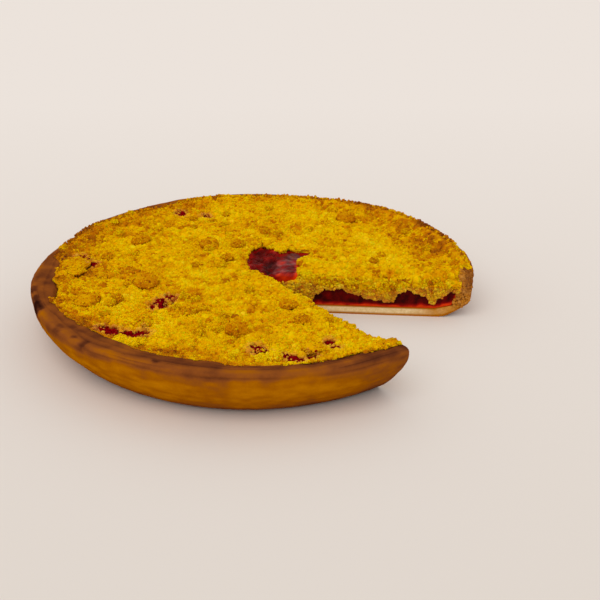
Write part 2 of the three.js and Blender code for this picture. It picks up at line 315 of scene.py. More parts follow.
def swell_share(x, y, swell):
    """1 over most of a swell, and 0 from 1.3 times its radius on."""
    return blend(1.3, 0.8, np.hypot(x - swell[0], y - swell[1]) / swell[2])


def fruit_top(x, y):
    """Height of the fruit: waves, a high swell at the wedge's tip and two low ones on the back cut."""
    swells = sum(swell[3] * swell_share(x, y, swell) for swell in (TIP_SWELL, CUT_SWELL, LOW_SWELL))
    return FILLING_TOP + swells + noises(flat(x, y), (0.7, 24, 5), (0.4, 11, 9))


def crumb_reach(x, y):
    """How far from the middle the crumbs go, in the direction of a plan point, with a ragged edge."""
    turn = turn_degrees(x, y)
    steady = np.interp(turn, CRUMB_REACH_TURN, CRUMB_REACH)
    ragged = noises(flat(turn, 0 * turn), (1.0, 6.0, 20), (1.9, 2.6, 21), (1.1, 1.2, 22))
    return steady + ragged * (1 - 0.6 * blend(132, 136, steady))


def off_edge(x, y):
    """Distance in mm from the crumbs' outer edge: positive inside it."""
    return crumb_reach(x, y) - np.hypot(x, y)


print("fruit height at the swell:", fruit_top(np.array([14.0]), np.array([29.0])).round(1), "mm")

# %% [markdown]
# ## A heap of crumbs as a height map
# Loose crumbs are roughly round and lie on each other. If thousands of balls are dropped on a flat map and
# each cell keeps the highest ball over it, the map looks like a heap of crumbs seen from above.

# %% Heap map
# CELL is the side of a map cell in mm, and MAP_SIDE the number of cells along the map's side.
CELL = 0.5
MAP_SIDE = 580


def heap_map(seed, sorts):
    """Highest ball over each cell of a square map. sorts lists (how many, smallest radius, largest, sink)."""
    rng = np.random.default_rng(seed)
    heights = np.zeros((MAP_SIDE, MAP_SIDE))
    half = MAP_SIDE * CELL / 2
    for count, small, large, sink in sorts:
        middle = rng.uniform(-half, half, (count, 2))
        radius = rng.uniform(small, large, count)
        span = int(np.ceil(large / CELL))
        steps = np.arange(-span, span + 1)
        offset = np.stack(np.meshgrid(steps, steps), -1).reshape(-1, 2)
        cell = np.floor((middle + half) / CELL).astype(int)[:, None] + offset[None]
        gap = (cell + 0.5) * CELL - half - middle[:, None]
        cap = radius[:, None] ** 2 - (gap**2).sum(-1)
        inside = (cap > 0) & (cell >= 0).all(-1) & (cell < MAP_SIDE).all(-1)
        rise = np.sqrt(np.maximum(cap, 0)) - sink * radius[:, None]
        np.maximum.at(heights, (cell[..., 1][inside], cell[..., 0][inside]), rise[inside])
    return heights


def read_map(heights, x, y):
    """Height map value at plan points, blended between the four nearest cells."""
    u, v = (np.clip(way / CELL + MAP_SIDE / 2 - 0.5, 0, MAP_SIDE - 1.001) for way in (x, y))
    i, j = u.astype(int), v.astype(int)
    fu, fv = u - i, v - j
    low = heights[j, i] * (1 - fu) + heights[j, i + 1] * fu
    high = heights[j + 1, i] * (1 - fu) + heights[j + 1, i + 1] * fu
    return low * (1 - fv) + high * fv


CRUMB_HEAP = heap_map(4, [(900, 3.0, 5.0, 0.6), (9000, 1.3, 2.4, 0.25), (20000, 0.8, 1.3, -0.2)])
JELLY_HEAP = heap_map(8, [(2600, 2.2, 4.5, 0.35), (6000, 1.0, 2.0, 0.1)])
print("heap heights in mm:", CRUMB_HEAP.mean().round(2), CRUMB_HEAP.max().round(2))

# %% [markdown]
# ## Where the crumbs are broken open
# Beside the wedge's tip the topping broke away as the tart was cut, and fruit shows through a ragged hole.
# There are also small spots where juice boiled up between the crumbs and stained them red. The lumps have
# their places here too, because loose crumbs leave them bare.

# %% Hole outline, juice spots and lumps
HOLE = np.array(
    [(-5, 12), (-6, 22), (-6, 37), (-3, 47), (3, 52), (9, 49), (12, 41), (16, 39), (22, 45), (27, 41),
     (38, 40.5), (37, 37), (31, 30), (27, 23), (28, 14.5), (27.5, 8), (27, 3), (26, -5), (12, -6), (6, 4)])
# Each juice spot is its plan x and y and its radius.
JUICE_SPOTS = (
    (-57, -48, 3.2), (-56, -43, 3.2), (-51.5, -41, 2.8), (-50.8, -35.5, 3.0), (-84.6, -79.4, 2.8),
    (-80.3, -80.6, 3.6), (-75.2, -86.9, 3.8), (-71.1, -84.4, 3.4), (-66.9, -86.5, 3.4), (-62.6, -82.4, 3.0),
    (-58.1, -85.9, 2.2), (-118.1, 23.1, 2.4), (-113.8, 18, 2.4), (-108.2, 13, 2.2), (-59.5, 106.1, 2.4),
    (-40.7, 104, 2.2), (4.5, -100, 2.6), (5.7, -106.5, 2.0), (11, -108, 3.0), (21.4, -110.5, 2.6),
    (24.7, -116.4, 2.8), (29.1, -116.2, 2.8), (35, -112.9, 3.0), (26, -112, 2.0), (45.8, -95.4, 1.8),
    (48.8, -101.5, 1.6))
# Each lump is its plan x and y, its radius, its height as a share of that, and its browning.
LUMPS = (
    (-68, -18, 8, 0.5, 0.6), (-7, -83, 6, 0.8, 0.6), (63, 94, 7, 0.55, 0.64), (-82, 54, 6.5, 0.55, 0.6),
    (-34, 45, 6.3, 0.5, 0.6), (-100, 24, 4, 0.5, 0.6), (-37, -60, 4, 0.5, 0.62), (-100, -44, 8, 0.4, 0.58),
    (36, -104, 6, 0.5, 0.46), (-14, 47, 4.5, 0.5, 0.58), (-20, 25, 4, 0.5, 0.6), (30, -70, 5, 0.45, 0.62),
    (22, -48, 5, 0.45, 0.6), (-118, 10, 9.5, 0.26, 0.56), (-116, -1, 6, 0.3, 0.5), (15, -117, 4.6, 0.6, 0.24),
    (8, -119, 3.6, 0.6, 0.22), (-72, -97, 4.6, 0.6, 0.3), (-65, -101, 4.2, 0.6, 0.28),
    (-60, -98, 3.4, 0.6, 0.3))


def hole_depth(x, y):
    """Distance in mm to the hole's outline: positive inside the hole, negative outside."""
    px, py = x[:, None], y[:, None]
    ax, ay = HOLE[:, 0], HOLE[:, 1]
    bx, by = np.roll(ax, -1), np.roll(ay, -1)
    dx, dy = bx - ax, by - ay
    share = np.clip(((px - ax) * dx + (py - ay) * dy) / (dx**2 + dy**2), 0, 1)
    nearest = np.hypot(px - ax - share * dx, py - ay - share * dy).min(axis=1)
    crossing = ((ay > py) != (by > py)) & (px < ax + (py - ay) * dx / np.where(dy == 0, 1e-9, dy))
    return np.where(crossing.sum(axis=1) % 2 == 1, nearest, -nearest)


def ragged_hole_depth(x, y):
    """Hole distance with an uneven edge, as crumbs break in clumps."""
    return hole_depth(x, y) + noises(flat(x, y), (1.0, 5, 61), (0.9, 2.2, 62)) + 0.3


def off_nearest(x, y, spots):
    """Distance in mm from the edge of the nearest juice spot or lump: negative inside it."""
    return np.min([np.hypot(x - spot[0], y - spot[1]) - spot[2] for spot in spots], axis=0)


def off_juice(x, y):
    """Distance in mm from the nearest juice spot's edge: negative inside, and uneven through noise."""
    return off_nearest(x, y, JUICE_SPOTS) - 1.2 + noises(flat(x, y), (1.5, 1.8, 71), (0.5, 5, 72))


def juice(x, y):
    """How much juice shows at a plan point: 1 inside a spot and 0 outside."""
    return blend(0.6, 0.0, off_juice(x, y))


def crumb_base(x, y):
    """Height of the crumb bed without its crumbs: thin at the hole, climbing the rim, rounded at its edge."""
    radius, off_hole, off_reach = np.hypot(x, y), hole_depth(x, y), off_edge(x, y)
    level = CRUMB_TOP + noises(flat(x, y), (1.0, 46, 1), (1.0, 17, 2), (0.8, 8, 3))
    level = level - 1.2 * blend(-12, 0, off_hole) - 1.2 * blend(-4, 0.5, off_hole)
    level = level + 2.8 * blend(112, 130, radius) + 2.4 * bump(np.hypot(x - 11, y + 8), 0, 9)
    for cut, drop in ((BACK_CUT, 3.4), (FRONT_CUT, 1.2)):
        off_cut, along = cut_distance(x, y, cut)
        level = level - np.where(along > 0, drop * blend(8, 0, off_cut), 0)
    over_rim = pastry_top(x, y) + 2.2 * blend(0, 8, off_reach)
    limit = np.maximum(over_rim, 32.0) + 1.4 - 1.2 * blend(4, 0, off_reach)
    return np.where(radius > 119, np.maximum(np.minimum(level, limit), over_rim), level)


def crumb_surface(x, y):
    """Height of the crumbs themselves: the bed and the heap, dipped under juice spots and lumps."""
    heap = (read_map(CRUMB_HEAP, x, y) - 1.2) * (0.25 + 0.7 * blend(-1, 6, off_edge(x, y)))
    return crumb_base(x, y) + heap - 0.9 * juice(x, y) - 1.3 * blend(0.5, -1.5, off_nearest(x, y, LUMPS))


print("crumb height at the left:", crumb_surface(np.array([-70.0]), np.array([0.0])).round(1), "mm")

# %% [markdown]
# ## Materials
# One material dresses all crumbs. It reads numbers that each point carries: the browning, from pale butter
# yellow to dark toast and with some painted light in it, `tone`, a small difference from crumb to crumb, a
# painted shade that turns them orange low between crumbs and under each crumb, and `soak` and `juice`, the
# fruit's pink and red. Reading stored numbers, not the camera or the window, keeps the pattern on the food
# from every side.


# %% Node helpers
class Dress:
    """A material and short ways to add nodes to it. A value is a number, a colour or a node's output."""

    def __init__(self, name, **settings):
        self.material = bpy.data.materials.new(name)
        self.material.use_nodes = True
        self.tree = self.material.node_tree
        self.set(**settings)

    def set(self, **settings):
        """Gives the shader's sockets their values by name."""
        for name, value in settings.items():
            self.put(value, self.tree.nodes["Principled BSDF"].inputs[name.replace("_", " ")])

    def put(self, value, socket):
        """Links an output to a socket, or sets a plain value there."""
        if isinstance(value, bpy.types.NodeSocket):
            self.tree.links.new(value, socket)
        else:
            socket.default_value = value

    def add(self, kind, inputs=(), **settings):
        """A node with its properties set by name, and its inputs from (name, value) pairs."""
        node = self.tree.nodes.new(kind)
        for key, value in settings.items():
            setattr(node, key, value)
        for name, value in inputs:
            self.put(value, node.inputs[name])
        return node

    def stored(self, name):
        """The number of that name that each point carries."""
        return self.add("ShaderNodeAttribute", attribute_name=name).outputs["Fac"]

    def place(self):
        """The object's own coordinates."""
        return self.add("ShaderNodeTexCoord").outputs["Object"]

    def grain(self, per_metre, detail=3.0, roughness=0.6, squash=1.0):
        """Noise with that many bumps to the metre, each `squash` times as wide as it is high."""
        stretch = [("Vector", self.place()), ("Scale", (1.0, 1.0, squash))]
        place = self.add("ShaderNodeMapping", stretch).outputs["Vector"]
        inputs = [("Vector", place), ("Scale", per_metre), ("Detail", detail), ("Roughness", roughness)]
        return self.add("ShaderNodeTexNoise", inputs).outputs["Fac"]

    def math(self, operation, *values, clamp=False):
        """A Math node on two or three values."""
        return self.add("ShaderNodeMath", enumerate(values), operation=operation, use_clamp=clamp).outputs[0]

    def vary(self, base, noise_value, amount, clamp=False):
        """A value made uneven: base + amount x (noise - 0.5)."""
        return self.math("MULTIPLY_ADD", self.math("SUBTRACT", noise_value, 0.5), amount, base, clamp=clamp)

    def ramp(self, value, *stops):
        """A colour ramp. Each stop is its place, and its red, green and blue from 0 to 255."""
        node = self.add("ShaderNodeValToRGB", [("Fac", value)])
        elements = node.color_ramp.elements
        while len(elements) < len(stops):
            elements.new(1.0)
        for element, (place, *colour) in zip(elements, stops):
            element.position, element.color = place, srgb(*colour)
        return node.outputs["Color"]

    def mix(self, share, first, second):
        """Blends two colours by a share from 0 to 1."""
        node = self.add("ShaderNodeMix", [("Factor", share)], data_type="RGBA")
        for socket, colour in zip([s for s in node.inputs if s.type == "RGBA"], (first, second)):
            self.put(colour, socket)
        return next(s for s in node.outputs if s.type == "RGBA")

    def relief(self, height, distance, strength):
        """Small relief from a height value, reaching `distance` metres in depth."""
        inputs = [("Strength", strength), ("Distance", distance), ("Height", height)]
        self.set(Normal=self.add("ShaderNodeBump", inputs).outputs["Normal"])


# %% Crumb material
def make_crumb_material():
    """Speckled crumbs: pale yellow to brown by their browning, which carries some painted light, orange by
    painted shade low between them, pink by `soak` and wet red by `juice`.
    """
    dress = Dress("baked_crumb", Specular_IOR_Level=0.0, Subsurface_Weight=0.5, Subsurface_Scale=1.0,
                  Subsurface_Radius=(0.0016, 0.0008, 0.0002))
    bake = dress.vary(dress.stored("bake"), dress.grain(700.0, 4.0, 0.7), 0.34)
    bake = dress.vary(bake, dress.grain(120.0, 2.0), 0.16)
    bake = dress.math("MULTIPLY_ADD", dress.stored("tone"), 0.1, bake, clamp=True)
    crumb = dress.ramp(bake, (0.0, 238, 200, 28), (0.22, 232, 188, 2), (0.45, 218, 164, 1),
                       (0.68, 184, 112, 4), (1.0, 122, 60, 14))
    # Painted shade: crumbs turn orange low between them and on their undersides, standing in for warm shade.
    crumb = dress.mix(dress.math("MULTIPLY", dress.stored("deep"), 0.32), crumb, srgb(228, 140, 4))
    crumb = dress.mix(dress.math("MULTIPLY", dress.stored("soak"), 0.5), crumb, srgb(214, 136, 66))
    wet = dress.stored("juice")
    red = dress.ramp(dress.grain(420.0), (0.35, 84, 1, 8), (0.7, 146, 6, 12))
    dress.set(Base_Color=dress.mix(wet, crumb, red), Roughness=dress.math("MULTIPLY_ADD", wet, -0.6, 0.85))
    dress.relief(dress.grain(1400.0, 4.0, 0.7), 0.0004, 0.4)
    return dress.material


CRUMB = make_crumb_material()
print("crumb material:", CRUMB.name)


# %% Fruit and pastry materials
def make_fruit_material():
    """Set red fruit jelly: nearly black where thick, bright red where `thin`, and wet by `gloss`."""
    dress = Dress("fruit_jelly", Roughness=0.35, Specular_IOR_Level=0.04, Coat_Roughness=0.22, Coat_IOR=1.45)
    thin = dress.vary(dress.stored("thin"), dress.grain(260.0), 0.6, clamp=True)
    red = dress.ramp(thin, (0.0, 54, 2, 2), (0.3, 98, 6, 4), (0.6, 150, 12, 6), (1.0, 226, 62, 8))
    dress.set(Base_Color=red, Coat_Weight=dress.stored("gloss"))
    dress.relief(dress.math("MULTIPLY", dress.grain(380.0), dress.stored("knobs")), 0.003, 0.8)
    return dress.material


def make_pastry_material():
    """Short pastry: baked skin from gold to near black, with painted shade and a painted highlight in it, and
    a crumbly `inside`, pale or `tan`.
    """
    dress = Dress("short_pastry", Specular_IOR_Level=0.0)
    bake = dress.vary(dress.stored("bake"), dress.grain(26.0, 5.0, 0.5, squash=7.0), 0.28)
    bake = dress.vary(bake, dress.grain(500.0, 4.0), 0.12, clamp=True)
    skin = dress.ramp(bake, (0.0, 224, 160, 20), (0.25, 194, 122, 1), (0.45, 164, 94, 2), (0.62, 136, 74, 28),
                      (0.8, 98, 50, 26), (1.0, 44, 18, 12))
    grain = dress.grain(600.0, 4.0, 0.7)
    pale = dress.ramp(grain, (0.3, 216, 184, 124), (0.7, 240, 218, 172))
    tan = dress.ramp(grain, (0.3, 170, 104, 24), (0.7, 212, 150, 56))
    inside = dress.stored("inside")
    colour = dress.mix(inside, skin, dress.mix(dress.stored("tan"), pale, tan))
    dress.set(Base_Color=colour, Roughness=dress.math("MULTIPLY_ADD", inside, 0.45, 0.45))
    dress.relief(dress.grain(380.0, 5.0, 0.65), 0.0005, 0.5)
    return dress.material


FRUIT, PASTRY = make_fruit_material(), make_pastry_material()
print("materials:", [m.name for m in (CRUMB, FRUIT, PASTRY)])

# %% [markdown]
# ## The pastry case
# The case is a profile carried round the tart: flat underneath, a wall that bulges outwards, a rolled rim
# and an inner wall down to the floor. Hands pressed the rim, so it rises and dips, with shallow folds along
# it. At the two cuts the profile is filled in, and pale pastry shows between the browned skins.

# %% Case profile
CASE_TURNS = 600
RIM_STEPS, WALL_STEPS, FLOOR_STEPS = 14, 34, 10
CORNER_POWER = 0.66


def outside_profile():
    """Radius and height from under the tip, along the base, up the bulging wall and over to the crest."""
    base = np.linspace(0, FOOT_RADIUS - 4, FLOOR_STEPS)
    share = np.linspace(0.0, 1, WALL_STEPS + 3)[1:]
    wall_r = FOOT_RADIUS + (WIDEST_RADIUS - FOOT_RADIUS) * np.sin(share * math.pi / 2)
    wall_z = WIDEST_HEIGHT * share
    wall_r = wall_r - 2.6 * np.exp(-wall_z / 1.2)
    turn = np.linspace(0, math.pi / 2, RIM_STEPS)[1:]
    rim_r = CREST_RADIUS + (WIDEST_RADIUS - CREST_RADIUS) * np.cos(turn) ** CORNER_POWER
    rim_z = WIDEST_HEIGHT + (CREST_HEIGHT - WIDEST_HEIGHT) * np.sin(turn) ** CORNER_POWER
    return np.concatenate([base, wall_r, rim_r]), np.concatenate([np.zeros(FLOOR_STEPS), wall_z, rim_z])


def inside_profile(count):
    """Radius and height from the tip's floor, up the inner wall to the crest, with `count` points."""
    floor = np.linspace(0, 112, FLOOR_STEPS)
    radius = np.concatenate([floor, np.linspace(112, CREST_RADIUS, count - FLOOR_STEPS + 1)[1:]])
    return radius, np.interp(radius, INNER_RADII, INNER_HEIGHTS)


OUT_R, OUT_Z = outside_profile()
IN_R, IN_Z = inside_profile(len(OUT_R))
print("case profile points:", len(OUT_R), "outside and as many inside")


# %% Case surface
FOLD_LEVELS = (32.4, 35.6, 41.2, 43.2)
OUTER_SLUMP_HEIGHT, OUTER_SLUMP = [0, 5, 10, 15, 20, 24, 28, 32], [4, 7, 9.2, 6.6, 3.4, 1.6, 0.4, 0]
ROUND_FROM = 12  # nearer to the tip than this, the profile's rings shrink round the tip itself


def rim_level(radius, height):
    """Place on the rim in mm: the height up to its widest line, then the way inwards over its top as well."""
    return height + np.where(height > WIDEST_HEIGHT, WIDEST_RADIUS - radius, 0)


def rim_folds(turn, radius, height):
    """Depth in mm of the shallow creases that run along the rim, wandering up and down as they go."""
    around = np.stack([np.cos(turn) * 130, np.sin(turn) * 130, np.zeros_like(turn)], axis=-1).reshape(-1, 3)
    depth = np.zeros(radius.size)
    level = rim_level(radius, height).reshape(-1)
    for k, middle in enumerate(FOLD_LEVELS):
        wander = 0.9 * noise(around, 38, 81 + k) + 0.4 * noise(around, 14, 91 + k)
        strength = blend(-0.5, 0.3, noise(around, 30, 101 + k))
        depth += 0.55 * strength * np.exp(-(((level - middle - wander) / 0.5) ** 2))
    return depth.reshape(radius.shape)


def carry_profile(radius, height, side):
    """Points of a profile carried from cut to cut. side is 1 outside and -1 inside, and turns the relief."""
    direction = np.linspace(BACK_CUT, FRONT_CUT, CASE_TURNS)[:, None]
    reach = np.maximum(radius, ROUND_FROM)[None]
    x, y = on_circle(direction, reach, radius / reach)
    z = np.broadcast_to(height, x.shape).copy()
    true_radius, turn = np.maximum(np.hypot(x, y), 1e-6), turn_degrees(x, y)
    swell, lift = rim_press(x, y)
    high = blend(14, 30, z) * blend(FILLING_RADIUS, FILLING_RADIUS + 8, true_radius)
    wall = blend(0.5, 4, z) * blend(110, 116, true_radius)
    points = np.stack([x, y, z], axis=-1).reshape(-1, 3)
    relief = noises(points, (0.7, 42, 31), (0.35, 12, 32), (0.2, 4, 33)).reshape(x.shape)
    folds = rim_folds(np.radians(turn), true_radius, z)
    if side > 0:
        slump = np.interp(z, OUTER_SLUMP_HEIGHT, OUTER_SLUMP) * blend(100, 118, true_radius)
        slump = slump * wall_slump(turn)
    else:
        slump = inner_shift(true_radius, turn)
    push = high * swell + side * wall * (relief - folds) + slump
    x, y = x * (1 + push / true_radius), y * (1 + push / true_radius)
    z = z + high * (lift - 0.5 * folds) + 0.25 * wall * relief * blend(26, 32, z)
    return np.stack([x, y, z], axis=-1), folds


OUTSIDE, OUTSIDE_FOLDS = carry_profile(OUT_R, OUT_Z, 1.0)
INSIDE, INSIDE_FOLDS = carry_profile(IN_R, IN_Z, -1.0)
INSIDE[:, -1] = OUTSIDE[:, -1]
print("case height in mm:", OUTSIDE[..., 2].max().round(1))


# %% Case faces, browning and the piece
def grid_faces(rows, columns, start=0):
    """Two triangles for every cell of a grid of points numbered row by row."""
    index = start + np.arange(rows * columns).reshape(rows, columns)
    a, b, c, d = index[:-1, :-1], index[:-1, 1:], index[1:, 1:], index[1:, :-1]
    return np.concatenate([np.stack([a, b, c], -1).reshape(-1, 3), np.stack([a, c, d], -1).reshape(-1, 3)])


# Each dark blot is its plan x and y, its size and its strength.
BLOTS = (
    (-127, -57, 8.5, 0.42), (-134, -33, 5.5, 0.3), (-107, -83, 6, 0.2), (-138, 10, 6, 0.1),
    (-91, -105, 3.5, 0.2), (-97, -98, 2.5, 0.22), (-48, -127, 2.2, 0.28), (-131, -46, 4, 0.24),
    (-136, -18, 6, 0.14))
CUT_LAYERS = 12


def case_browning_and_painted_light(points, folds):
    """Browning from 0 to 1: gold on the wall, dark at the rim's corner, nearly black in the blots, with
    painted shade in the rim's creases and low on the wall, and a painted highlight along the crest.
    """
    points = points.reshape(-1, 3)
    x, y, z = points.T
    degrees = turn_degrees(x, y)
    left = bump(np.abs(degrees), 172, 38)
    level = rim_level(np.hypot(x, y), z) + 1.2 * noise(points, 30, 41) + 4.0 * left
    corner = blend(29.5, 33.5, level)
    # Painted shade: the wall darkens towards the table, under its outward flare.
    wall = 0.45 - 0.1 * bump(z, 19, 7) + 0.2 * blend(11, 0, z) + 0.2 * bump(degrees, -48, 20) + 0.05 * left
    wall = wall + 0.06 * noise(points, 14, 43) + 0.07 * noise(points * (1, 1, 1.6), 5, 49)
    # Painted highlight: a paler line along the rim's crest; past it the rim's inner top is browner.
    top = 0.06 * bump(level, 38.5, 1.6) - 0.06 * blend(40.5, 42, level)
    blots = np.zeros(len(x))
    for blot_x, blot_y, size, strength in BLOTS:
        away = np.hypot(x - blot_x, y - blot_y) / size + noises(points, (0.5, 4, 44), (0.3, 1.8, 46))
        blots = np.maximum(blots, strength * blend(1.3, 0.4, away))
    # Painted shade: darker in the rim's shallow creases.
    brown = wall + corner * (0.18 - top - 0.05 * left) + 0.13 * np.clip(folds.ravel(), 0, 1)
    brown = brown + blots * blend(30, 34, level) * blend(44, 40, level)
    return brown + 0.07 * layered_noise(points, 22, 45) + 0.07 * noise(points * (1, 1, 2.5), 6, 47)


def case_piece():
    """The closed case: outside grid, inside grid and the two filled cuts, each with its stored numbers."""
    rows, columns = OUTSIDE.shape[:2]
    sheets = [OUTSIDE.reshape(-1, 3), INSIDE.reshape(-1, 3)]
    faces = [grid_faces(rows, columns)[:, ::-1], grid_faces(rows, columns, rows * columns)]
    nought = np.zeros(rows * columns)
    values = {"bake": [case_browning_and_painted_light(OUTSIDE, OUTSIDE_FOLDS), case_browning_and_painted_light(INSIDE, INSIDE_FOLDS)],
              "inside": [nought, nought], "tan": [nought, nought]}
    across = np.linspace(0, 1, CUT_LAYERS)[:, None, None]
    for cut, row in enumerate((0, rows - 1)):
        cap = OUTSIDE[row][None] * (1 - across) + INSIDE[row][None] * across
        thickness = np.linalg.norm(INSIDE[row] - OUTSIDE[row], axis=-1)
        skin = np.minimum(across[..., 0] * thickness / 2.2, (1 - across[..., 0]) * thickness / 1.2)
        made = grid_faces(CUT_LAYERS, columns, (2 * rows + cut * CUT_LAYERS) * columns)
        faces.append(made[:, ::-1] if cut else made)
        sheets.append(cap.reshape(-1, 3))
        radius = np.hypot(*sheets[-1][:, :2].T)
        values["inside"].append(blend(0.35, 1.15, skin).ravel())
        values["bake"].append(np.full(len(radius), 0.42))
        values["tan"].append(np.clip(blend(98, 116, radius) + 0.3 * noise(sheets[-1], 4, 48), 0, 1))
    piece = make_piece("pastry_case_baked", np.concatenate(sheets), np.concatenate(faces), PASTRY,
                       **{key: np.concatenate(parts) for key, parts in values.items()})
    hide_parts("pastry_case")


case_piece()

# %% [markdown]
# ## The fruit filling
# The filling is a slab of set jelly with soft fruit in it. Its top shows in the hole and its sides at the
# cuts. It has lumps the size of berries, high ones near the hole and low ones under the crumbs.


# %% Filling piece
def calm_jelly(x, y):
    """1 on the hole's right side, where the jelly lies smoother and shines more, and 0 on its left."""
    return blend(9, 16, x + 2.5 * noise(flat(x, y), 9, 58))


def filling_piece():
    """Top sheet at the fruit's height with berry-sized lumps, bottom sheet on the pastry's floor."""
    share, direction, triangles = fan(FILLING_RINGS)
    rim_height = fruit_top(*on_circle(direction, FILLING_RADIUS))
    wall_radius = np.interp(rim_height - 0.5, INNER_HEIGHTS[1:], INNER_RADII[1:]) - 0.1
    x, y = on_circle(direction, wall_radius, share)
    near = blend(14, -2, -hole_depth(x, y))
    lumps = (read_map(JELLY_HEAP, x, y) - 1.6) * (0.25 + 0.75 * near * (1 - 0.85 * calm_jelly(x, y)))
    upper = fruit_top(x, y) + 1.2 * lumps
    lower = np.interp(np.hypot(x, y), INNER_RADII, INNER_HEIGHTS) + LAYER_GAP
    top, bottom = np.stack([x, y, upper], 1), np.stack([x, y, np.minimum(lower, upper - 0.6)], 1)

    def waver(points, depth):
        return 0.35 * layered_noise(points, 7, 51) * np.sin(np.pi * depth)

    points, faces, _ = closed_layer(top, bottom, triangles, FILLING_LEVELS, waver)
    x, y, z = points.T.copy()
    radius = np.hypot(x, y)
    points[:, :2] *= (1 + inner_shift(radius, turn_degrees(x, y)) / np.maximum(radius, 1))[:, None]
    in_hole, calm = hole_depth(x, y), calm_jelly(x, y)
    shows = blend(-3, 0, in_hole)
    off_floor = z - np.interp(radius, INNER_RADII, INNER_HEIGHTS)
    off_wall = np.interp(z, INNER_HEIGHTS[1:], INNER_RADII[1:]) - radius
    edges = np.maximum(0.95 * blend(3.4, 0, off_floor), 0.8 * blend(4.0, 0, off_wall))
    thin = 0.19 + edges * (1 + 0.4 * noise(points, 5, 50)) + 0.3 * layered_noise(points, 8, 55)
    thin = thin + shows * (0.06 + 0.12 * calm + 0.35 * blend(3.5, 0, in_hole) + 0.5 * blend(9, 3, y))
    streaks = blend(-0.4, 0.3, noise(points * (1, 1.4, 1), 5, 57))
    sparks = blend(0.3, 0.7, noise(points, 2.4, 59))
    gloss = shows * blend(20, 24, z) * (0.15 + 0.85 * blend(5, 11, y))
    piece = make_piece("fruit_filling_set", points, faces, FRUIT, thin=thin + 0.24 * noise(points, 3, 56),
                       gloss=gloss * (0.01 + 0.2 * sparks * (1 - calm) + 0.5 * calm * streaks),
                       knobs=1 - 0.75 * calm)
    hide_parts("fruit_filling")


FILLING_RINGS, FILLING_LEVELS = 126, 8
filling_piece()


# %% [markdown]
# ## The crumb bed
# The topping is a closed layer over the fruit. Its top follows the heap of crumbs, and its edges at the cuts
# and the hole are ragged, because crumbs break off where a knife goes through.


# %% Browning of the crumbs
# The hanging crumbs' lower edge: heights at distances from the tip along the back cut.
HANG_ALONG = [15, 35, 37, 39, 45, 55, 61, 66, 74, 81, 86, 89, 91.5, 93, 99, 106, 110, 113, 116, 118, 121, 124,
              127, 135]
HANG_HEIGHT = [10, 9.5, 12, 16.5, 18, 18.7, 15.6, 14.7, 13.5, 12, 10.6, 11, 16, 17.3, 19.6, 18, 16.5, 12,
               10.5, 14.5, 14.5, 18, 18.5, 20]


def hang_height(along):
    """Height of the hanging crumbs' lower edge at a distance along the back cut, with a ragged line."""
    line = flat(along, np.zeros_like(along))
    return np.interp(along, HANG_ALONG, HANG_HEIGHT) + noises(line, (1.2, 4.5, 24), (0.8, 1.9, 25))


def crumb_bake(points):
    """How brown the crumbs are: mottled gold, toasted near the rim at the right, left and front, and paler at
    the right end as painted light where it lies in shade.
    """
    x, y, z = points.T
    radius, degrees = np.hypot(x, y), turn_degrees(x, y)
    mottle = 0.345 + noises(flat(x, y), (0.11, 26, 11), (0.12, 9, 12), (0.13, 4, 13))
    mottle = mottle + 0.15 * blend(-30, -110, x) + 0.04 * blend(50, 90, y)
    right = bump(degrees, 22, 24) * (0.34 * blend(90, 122, radius) + 0.1 * blend(127, 138, radius))
    right = right + 0.12 * bump(degrees, 62, 24) * blend(126, 134, radius)
    # Painted light: paler at the very right end, where the topping slopes away into shade.
    right = right * (1 + 0.9 * noise(points, 3.2, 14)) - 0.16 * bump(degrees, 2, 12) * blend(122, 132, radius)
    left = 0.18 * blend(110, 128, radius) + 0.14 * blend(127, 137, radius)
    left = left * bump(np.abs(degrees - 10), 158, 34)
    front = 0.3 * bump(degrees, -108, 26) * blend(96, 114, radius) * (1 + 0.9 * noise(points, 6, 15))
    buried = blend(2.5, 7, crumb_base(x, y) - z)
    return mottle + right + left + front + 0.07 * blend(118, 132, radius) - 0.3 * buried


def soaking(points):
    """How pink with juice the crumbs are: round juice spots, just above the fruit, and where they hang."""
    x, y, z = points.T
    near_spot = 0.8 * blend(3.2, 0.2, off_juice(x, y)) * (z > 24)
    off_cut, along = cut_distance(x, y, BACK_CUT)
    border = 0.55 * blend(3.2, 0.6, z - hang_height(along)) * (off_cut < 4) * (along > 14) * (z < 23)
    low = 0.3 * blend(2.6, 0.3, z - fruit_top(x, y)) * blend(26, 22, z)
    return np.maximum(np.maximum(near_spot, border), low)


# %% Bed piece
def ragged_cut(x, y):
    """Moves points near a cut sideways, so that the crumbs' edge wanders along the knife's line."""
    for cut, inward, seed in ((BACK_CUT, 1, 23), (FRONT_CUT, -1, 27)):
        off_cut, along = cut_distance(x, y, cut)
        wander = noises(flat(along, off_cut * 0), (1.5, 7, seed), (0.9, 2.8, seed + 1))
        shift = blend(7, 0, off_cut) * (along > 0) * (wander + 0.6) * inward
        x, y = x - shift * math.sin(cut), y + shift * math.cos(cut)
    return x, y


